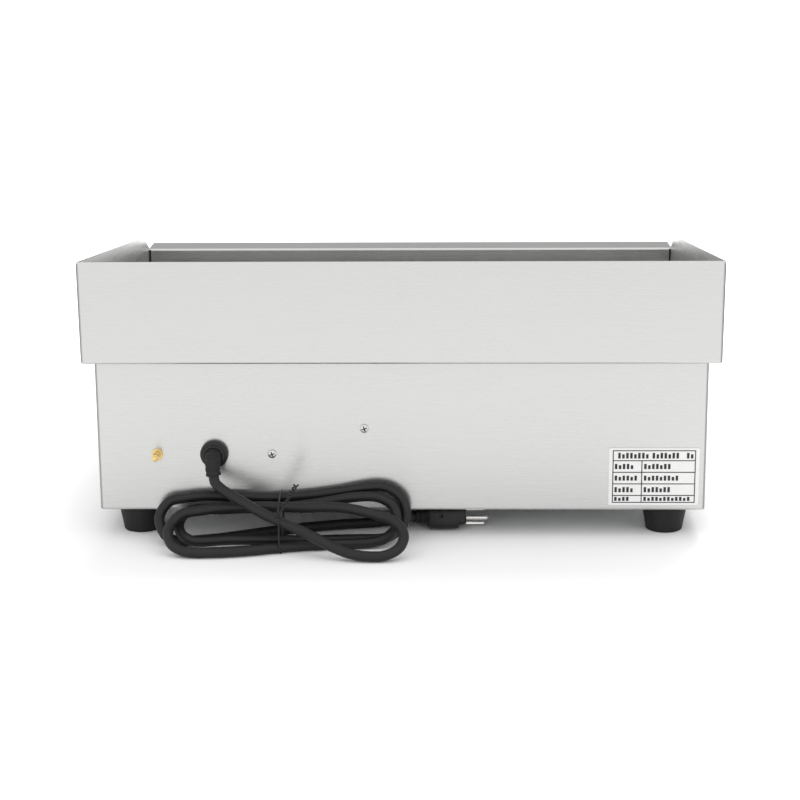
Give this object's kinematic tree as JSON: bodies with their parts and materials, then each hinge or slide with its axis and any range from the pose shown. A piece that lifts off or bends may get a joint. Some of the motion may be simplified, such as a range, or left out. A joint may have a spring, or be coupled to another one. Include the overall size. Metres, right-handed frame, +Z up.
{
  "type": "electric griddle",
  "caption": "Countertop electric griddle: steel plate in a folded splash guard over a sheet body, grease gutter and drawer, thermostat knob, rubber feet, tied supply cord.",
  "frame": {"origin": "on the supporting surface, under the middle of the appliance without its cord", "axes": "+Z up; the front with the knob and drawer faces -Y, the rear panel with the cord faces +Y; +X is to the right seen from the front"},
  "size_m": [0.555, 0.5404, 0.25],
  "materials": {
    "brushed_steel": "fine brushed stainless sheet",
    "griddle_steel": "ground mild steel, lightly seasoned",
    "galvanised_sheet": "galvanised, dull",
    "element_sheath": "oxidised nickel alloy tube",
    "ceramic_wool": "pressed fibre blanket",
    "black_moulding": "satin moulded",
    "tie_wire": "plastic covered wire",
    "black_rubber": "matte",
    "cord_jacket": "smooth thermoplastic jacket, slight sheen",
    "brass": "bright",
    "zinc_plated": "zinc plated",
    "nickel_plated": "bright nickel",
    "ceramic": "white steatite",
    "copper": "bright copper",
    "label_film": "printed film",
    "dial_print": "printed silver film",
    "red_lens": "translucent red",
    "green_lens": "translucent green",
    "wire_insulation": "braided glass sleeve"
  },
  "bodies": {
    "body": {"splash_guard": "brushed_steel", "front_ledge": "brushed_steel", "grease_gutter": "brushed_steel", "drain_spout": "brushed_steel", "body_shell": "brushed_steel", "control_panel": "brushed_steel", "griddle_plate": "griddle_steel", "heat_shield_pan": "galvanised_sheet", "base_panel": "galvanised_sheet", "heating_element_left": "element_sheath", "heating_element_right": "element_sheath", "insulation_blanket": "ceramic_wool", "heating_lamp_holder": "black_moulding", "power_lamp_holder": "black_moulding", "limit_thermostat": "black_moulding", "cord_gland": "black_moulding", "gland_nut": "black_moulding", "plug_body": "black_moulding", "cord_tie": "tie_wire", "foot_front_left": "black_rubber", "foot_front_right": "black_rubber", "foot_rear_left": "black_rubber", "foot_rear_right": "black_rubber", "strain_relief": "black_rubber", "cord_lead": "cord_jacket", "cord_hank": "cord_jacket", "cord_tail": "cord_jacket", "earth_stud": "brass", "earth_washer": "brass", "earth_nut": "brass", "plug_blade_line": "nickel_plated", "plug_blade_neutral": "nickel_plated", "plug_earth_pin": "nickel_plated", "element_clamp_front": "zinc_plated", "element_clamp_rear": "zinc_plated", "rear_screw_low": "zinc_plated", "rear_screw_high": "zinc_plated", "drawer_rail_left": "zinc_plated", "drawer_rail_right": "zinc_plated", "foot_screw_front_left": "zinc_plated", "foot_screw_front_right": "zinc_plated", "foot_screw_rear_left": "zinc_plated", "foot_screw_rear_right": "zinc_plated", "thermostat_body": "ceramic", "terminal_block": "ceramic", "capillary_tube": "copper", "sensor_bulb": "copper", "rating_label": "label_film", "dial_plate": "dial_print", "heating_lamp_lens": "red_lens", "power_lamp_lens": "green_lens", "wire_line": "wire_insulation", "wire_earth": "wire_insulation", "wire_control": "wire_insulation"},
    "knob": {"thermostat_knob": "black_moulding", "thermostat_shaft": "zinc_plated"},
    "drawer": {"grease_drawer": "brushed_steel", "drawer_handle": "brushed_steel"}
  },
  "joints": [
    {"name": "knob_turn", "type": "hinge", "parent": "body", "child": "knob", "pos_m": [0.165, -0.207, 0.095], "axis": [0, 1, 0], "range_deg": [0, 270]},
    {"name": "drawer_slide", "type": "slide", "parent": "body", "child": "drawer", "axis": [0, -1, 0], "range_m": [0, 0.14]}
  ]
}
